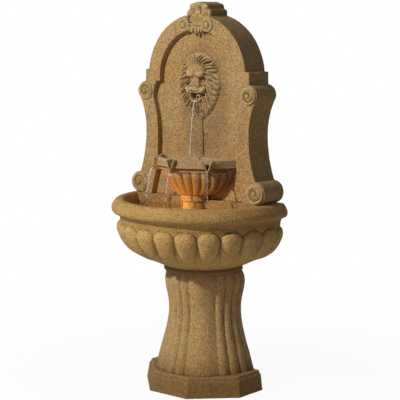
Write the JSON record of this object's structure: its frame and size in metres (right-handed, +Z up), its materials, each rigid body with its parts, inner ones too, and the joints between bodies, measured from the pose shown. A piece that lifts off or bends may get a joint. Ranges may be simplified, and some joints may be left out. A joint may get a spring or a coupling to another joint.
{
  "type": "floor fountain",
  "caption": "Flat-backed floor fountain: column, gadrooned basin, scrolled panel with a lion mask spout, spilling upper bowl, pump and lamp.",
  "frame": {"origin": "on the floor, on the column's axis", "axes": "+Z up, front towards -Y, flat back towards +Y"},
  "size_m": [0.6346, 0.3823, 1.324],
  "materials": {
    "stone": "cast sandstone, matte, fine grain",
    "cover_sheet": "matte sheet",
    "steel": "stainless",
    "brass": "dull brass",
    "hose_vinyl": "milky vinyl",
    "black_plastic": "moulded, fine texture",
    "dial_plastic": "moulded",
    "rotor_plastic": "moulded",
    "ceramic_shaft": "ground",
    "rubber": "matte",
    "lamp_metal": "dark coated",
    "lens_glass": "clear",
    "lamp_board": "white board"
  },
  "bodies": {
    "fountain": {"pedestal": "stone", "basin": "stone", "back_panel": "stone", "lion_mask": "stone", "upper_bowl": "stone", "bowl_stand": "stone", "mask_screws": "steel", "mask_washers": "steel", "bowl_bolts": "steel", "bowl_washers": "steel", "locating_pins": "steel", "hose_clamps": "steel", "pump_screws": "steel", "spout_elbow": "brass", "spout_nut": "brass", "hose": "hose_vinyl", "pump_housing": "black_plastic", "pump_volute": "black_plastic", "intake_grille": "black_plastic", "impeller_shaft": "ceramic_shaft", "pump_feet": "rubber", "pump_gland": "rubber", "lamp_foot": "rubber", "lamp_bracket": "lamp_metal"},
    "impeller": {"impeller": "rotor_plastic"},
    "flow_dial": {"flow_dial": "dial_plastic"},
    "lamp": {"lamp_housing": "lamp_metal", "lamp_board": "lamp_board", "lamp_seal": "rubber", "lamp_lens": "lens_glass", "lamp_bezel": "lamp_metal", "lamp_pins": "steel", "lamp_gland": "rubber"},
    "rear_cover": {"rear_cover": "cover_sheet", "cover_screws": "steel", "cord_grommet": "rubber"}
  },
  "joints": [
    {"name": "impeller_spin", "type": "hinge", "parent": "fountain", "child": "impeller", "pos_m": [0.006, -0.084, 0.513], "axis": [1, 0, 0], "continuous": true},
    {"name": "flow_dial_turn", "type": "hinge", "parent": "fountain", "child": "flow_dial", "pos_m": [-0.027, -0.084, 0.513], "axis": [1, 0, 0], "range_deg": [0, 90]},
    {"name": "lamp_tilt", "type": "hinge", "parent": "fountain", "child": "lamp", "pos_m": [-0.098, -0.146, 0.528], "axis": [1, 0, 0], "range_deg": [-60, 60]},
    {"name": "rear_cover_lift", "type": "slide", "parent": "fountain", "child": "rear_cover", "axis": [0, 1, 0], "range_m": [0, 0.1]}
  ]
}
